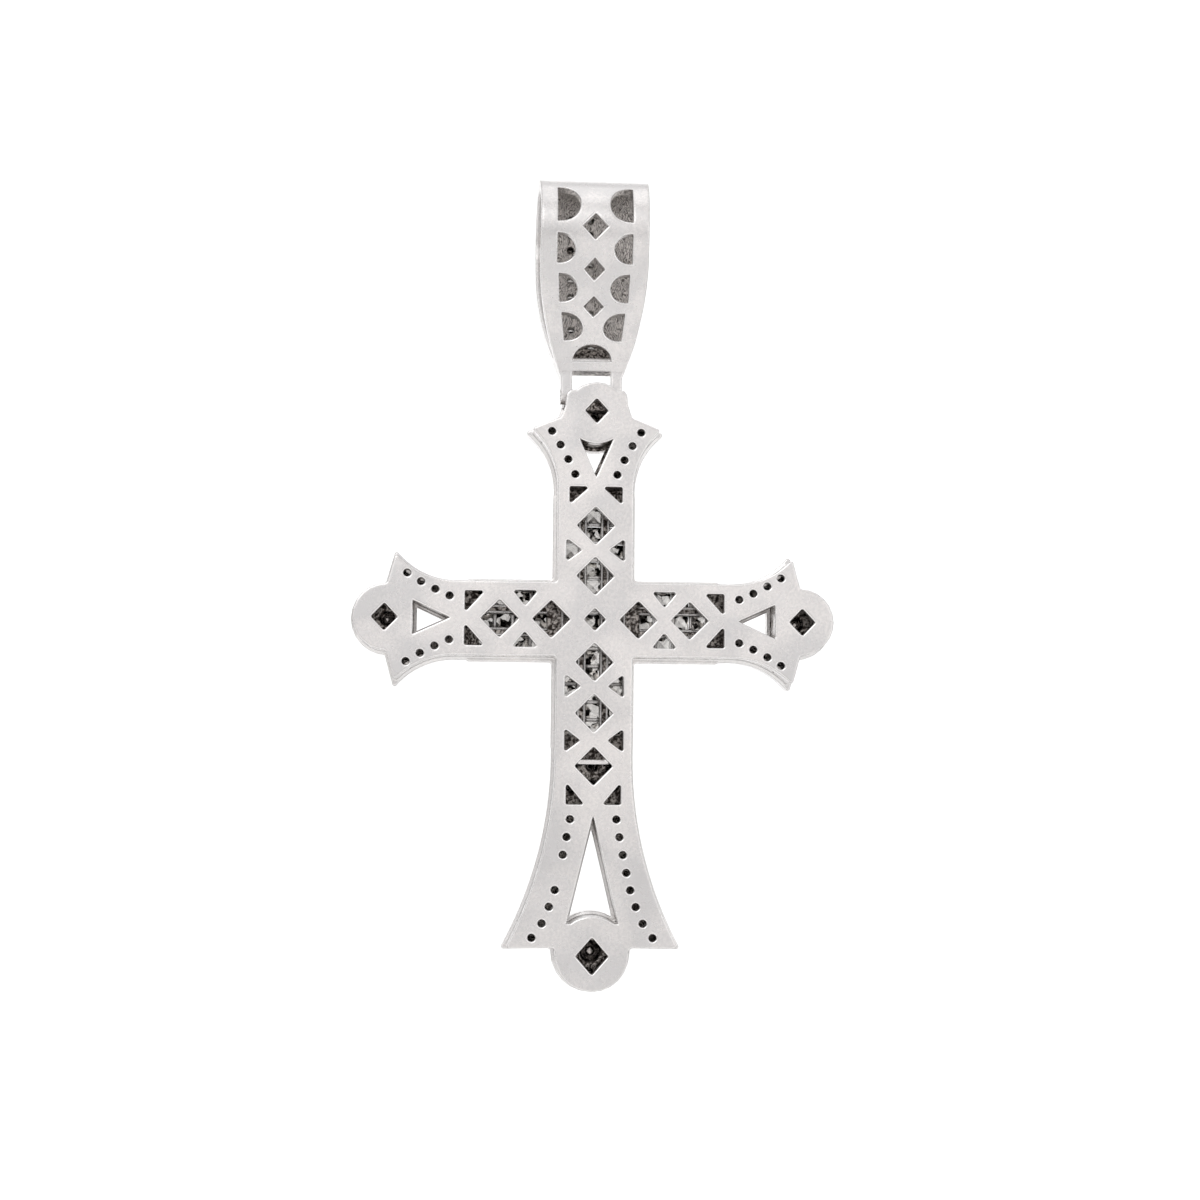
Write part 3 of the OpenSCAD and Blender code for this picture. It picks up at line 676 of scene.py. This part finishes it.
class PENDANT_OT_small_stones(bpy.types.Operator):
    """Gives the fields of small stones their clear, cut look"""
    bl_idname = "pendant.small_stones"
    bl_label = "Small stones"

    def execute(self, context):
        settings = context.scene.pendant_stones
        # Each field's colour of painted glints, the share of its undersides that mirror, and its painted
        # shade colour where it differs from the settings'.
        for field, glints, backing, dim in (
                ("channel_stones", (1.0, 0.98, 0.95), 0.1, None),
                ("flare_stones", (1.0, 0.97, 0.94), 1.0, (0.5, 0.47, 0.45)),
                ("cluster_stones", (0.3, 0.28, 0.27), 1.0, None),
                ("bail_stones", (0.4, 0.38, 0.36), 1.0, None)):
            wear(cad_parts[field], clear_stone(field + "_clear", settings, glints, backing, dim))
        return {"FINISHED"}


class PENDANT_OT_main_stones(bpy.types.Operator):
    """Cuts the four larger stones of the discs as full brilliants in place of the plain solids"""
    bl_idname = "pendant.main_stones"
    bl_label = "Main stones"

    def execute(self, context):
        settings = context.scene.pendant_stones
        # Painted glints, and a lighter painted shade, for the main stones' undersides.
        material = clear_stone("main_stone_clear", settings, (0.5, 0.47, 0.45), dim=(0.18, 0.17, 0.16))
        for end, (centre, _, _, _, width) in DISCS.items():
            points, faces = brilliant(width * MM, settings.table_share)
            place = front_points(centre, FLARE_Y + TABLE_PROUD)
            obj = mesh_object(end + "_brilliant", facing_front(points) + place, faces)
            wear(obj, material)
            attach(obj, "cross")
            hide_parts(end + "_stone")
        return {"FINISHED"}


class PENDANT_OT_grains(bpy.types.Operator):
    """Raises the metal grains that hold the round stones of the cross and the bail"""
    bl_idname = "pendant.grains"
    bl_label = "Setting grains"

    def execute(self, context):
        flat = []
        for end, (row, width) in ROWS.items():
            for flip in (1, -1):
                flat.append(row_grains(row * [flip, 1], width) @ TURNS[end].T)
        for centre, radius, count, width, main in DISCS.values():
            flat.append(disc_grains(centre, radius, count, width, main))
        flat.append(grid(FIELD_ACROSS, FIELD_HEIGHTS))
        centres = front_points(np.concatenate(flat), FLARE_Y)
        self.raise_grains(context, "cross_grains", centres, np.tile([0.0, 1.0, 0.0], (len(centres), 1)),
                          "cross", "cross_metal")
        self.raise_grains(context, "bail_grains", *bail_grains(), "bail", "bail_metal")
        return {"FINISHED"}

    def raise_grains(self, context, name, centres, normals, body, slot):
        settings = context.scene.pendant_stones
        radius = settings.grain_radius
        vertices, faces = grain_field(centres, normals, radius, GRAIN_RISE * radius, settings.grain_rings)
        obj = mesh_object(name, vertices, faces)
        smooth(obj)
        wear(obj, white_metal(name + "_metal", context.scene.pendant_metal, reach=0.0006, mottle=0.4))
        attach(obj, body)


class PENDANT_OT_crossbars(bpy.types.Operator):
    """Puts the thin bars between the stones of the straight channels, seen through the pierced back"""
    bl_idname = "pendant.crossbars"
    bl_label = "Crossbars"

    def execute(self, context):
        level = grid(CHANNELS, (np.arange(-6, 6) + 0.5) * SQUARE_PITCH)
        arms = ARM_STONES_FROM + SQUARE_PITCH * np.arange(1, 4)
        upright = grid(np.concatenate([-arms, arms]), CHANNELS)
        places = np.concatenate([level, upright])
        vertices, faces = bars(places, np.arange(len(places)) >= len(level))
        obj = mesh_object("channel_crossbars", vertices, faces)
        smooth(obj)
        wear(obj, white_metal("crossbar_metal", context.scene.pendant_metal, reach=0.0003, mottle=0.8))
        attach(obj, "cross")
        return {"FINISHED"}


class PENDANT_OT_rails(bpy.types.Operator):
    """Runs a thin rail along each side of the straight channels, seen through the pierced back"""
    bl_idname = "pendant.rails"
    bl_label = "Channel rails"

    def execute(self, context):
        sides = (CHANNELS[:, None] + [-RAIL_OUT, RAIL_OUT]).ravel()
        lines = [[[across, -RAILS_TO], [across, RAILS_TO]] for across in sides]
        lines += [[[flip * RAILS_FROM, high], [flip * RAILS_TO, high]] for flip in (-1, 1) for high in sides]
        obj = mesh_object("channel_rails", *rails(np.array(lines), SEAT_Y))
        smooth(obj)
        wear(obj, white_metal("rail_metal", context.scene.pendant_metal, reach=0.0003, mottle=0.8))
        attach(obj, "cross")
        return {"FINISHED"}


class PENDANT_OT_studio(bpy.types.Operator):
    """Sets up the floor, the wall, the soft lights and the camera"""
    bl_idname = "pendant.studio"
    bl_label = "Studio"

    def execute(self, context):
        settings = context.scene.pendant_studio
        scene = context.scene
        self.sweep(settings)
        for name, place, width, share in (
                ("key_softbox", (-0.16, -0.32, 0.20), 0.34, 1.0),
                ("fill_softbox", (0.26, -0.30, 0.02), 0.30, 0.35),
                ("top_softbox", (0.0, -0.02, 0.30), 0.30, 0.25),
                ("front_softbox", (0.10, 0.30, 0.14), 0.30, 0.15)):
            self.light(name, place, width, settings.key_power * share)
        for side in (-1, 1):
            self.light("wall_light", (side * 0.4, 0.12, 0.08), 0.3, settings.wall_power,
                       (side * 0.3, 0.42, -0.03))
        room = Graph("pale_room", bpy.data.worlds.new("pale_room"))
        _, _, up = room.parts(room.node("ShaderNodeTexCoord", out="Generated"))
        scene.world = room.surface(room.node("ShaderNodeBackground", {}, {
            "Color": rgba((1.0, 0.985, 0.985)), "Strength": 0.48 + up.between(-0.2, 0.08) * 0.38}))
        scene.view_settings.view_transform = "Standard"
        scene.view_settings.look = "None"
        self.camera(settings)
        return {"FINISHED"}

    def sweep(self, settings):
        """Floor and wall as one seamless sheet: level in front, a quarter circle, then upright. All of it
        is in metres."""
        radius, reach, rise, half = 0.12, 1.8, 0.6, 1.5
        bend_y, floor_z = 0.30, -0.115
        turn = np.linspace(0, np.pi / 2, 17)
        line = np.concatenate([
            [[-reach, 0.0]],
            np.stack([radius * np.sin(turn), radius * (1 - np.cos(turn))], 1),
            [[radius, rise]]])
        y, z = line[:, 0] + bend_y, line[:, 1] + floor_z
        x = np.array([-half, half])
        points = np.stack(np.broadcast_arrays(x[:, None], y[None], z[None]), -1).reshape(-1, 3)
        n = len(line)
        i = np.arange(n - 1)
        sheet = mesh_object("paper_sweep", points, [np.stack([i, i + n, i + n + 1, i + 1], 1)])
        smooth(sheet)
        wear(sheet, pale_ground("sweep_paper", settings, 40.0))

    def light(self, name, place, width, power, target=(0, 0, CROSSING * MM)):
        """A round soft light that points at the target."""
        lamp = bpy.data.lights.new(name, "AREA")
        lamp.shape = "DISK"
        lamp.size = width
        lamp.energy = power
        obj = bpy.data.objects.new(name, lamp)
        bpy.context.scene.collection.objects.link(obj)
        obj.location = place
        towards = Vector(target) - Vector(place)
        obj.rotation_euler = towards.to_track_quat("-Z", "Y").to_euler()

    def camera(self, settings):
        """The photograph's view: from a little to the left and below, turned to the right and up."""
        lens = bpy.data.cameras.new("photo_camera")
        lens.sensor_width = 36.0
        lens.lens = settings.focal_length
        lens.clip_start = 0.005
        lens.clip_end = 10.0
        obj = bpy.data.objects.new("photo_camera", lens)
        bpy.context.scene.collection.objects.link(obj)
        obj.location = Vector((-7.0, -111.55, CROSSING - 9.0)) * MM
        yaw, pitch, roll = math.radians(3.8), math.radians(5.3), math.radians(0.52)
        look = Vector((math.sin(yaw) * math.cos(pitch), math.cos(yaw) * math.cos(pitch), math.sin(pitch)))
        turn = look.to_track_quat("-Z", "Y").to_matrix() @ Matrix.Rotation(roll, 3, "Z")
        obj.rotation_euler = turn.to_euler()
        bpy.context.scene.camera = obj


class PENDANT_PT_panel(bpy.types.Panel):
    """Lists the steps that dress the pendant"""
    bl_label = "Cross Pendant"
    bl_idname = "PENDANT_PT_panel"
    bl_space_type = "VIEW_3D"
    bl_region_type = "UI"
    bl_category = "Pendant"

    def draw(self, context):
        for step in STEPS:
            self.layout.operator(step.bl_idname)
        for held_as in GROUPS:
            group = getattr(context.scene, held_as)
            box = self.layout.box()
            for name in group.__annotations__:
                box.prop(group, name)


STEPS = (PENDANT_OT_metal, PENDANT_OT_small_stones, PENDANT_OT_main_stones, PENDANT_OT_grains,
         PENDANT_OT_crossbars, PENDANT_OT_rails, PENDANT_OT_studio)
GROUPS = {"pendant_metal": PENDANT_PG_metal, "pendant_stones": PENDANT_PG_stones,
          "pendant_studio": PENDANT_PG_studio}


def register():
    for cls in (*GROUPS.values(), *STEPS, PENDANT_PT_panel):
        bpy.utils.register_class(cls)
    for name, group in GROUPS.items():
        setattr(bpy.types.Scene, name, PointerProperty(type=group))


def unregister():
    for name in GROUPS:
        delattr(bpy.types.Scene, name)
    for cls in (PENDANT_PT_panel, *reversed(STEPS), *GROUPS.values()):
        bpy.utils.unregister_class(cls)


def main():
    register()
    bpy.ops.pendant.metal()
    bpy.ops.pendant.small_stones()
    bpy.ops.pendant.main_stones()
    bpy.ops.pendant.grains()
    bpy.ops.pendant.crossbars()
    bpy.ops.pendant.rails()
    bpy.ops.pendant.studio()
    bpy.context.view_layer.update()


if __name__ == "__main__":
    main()
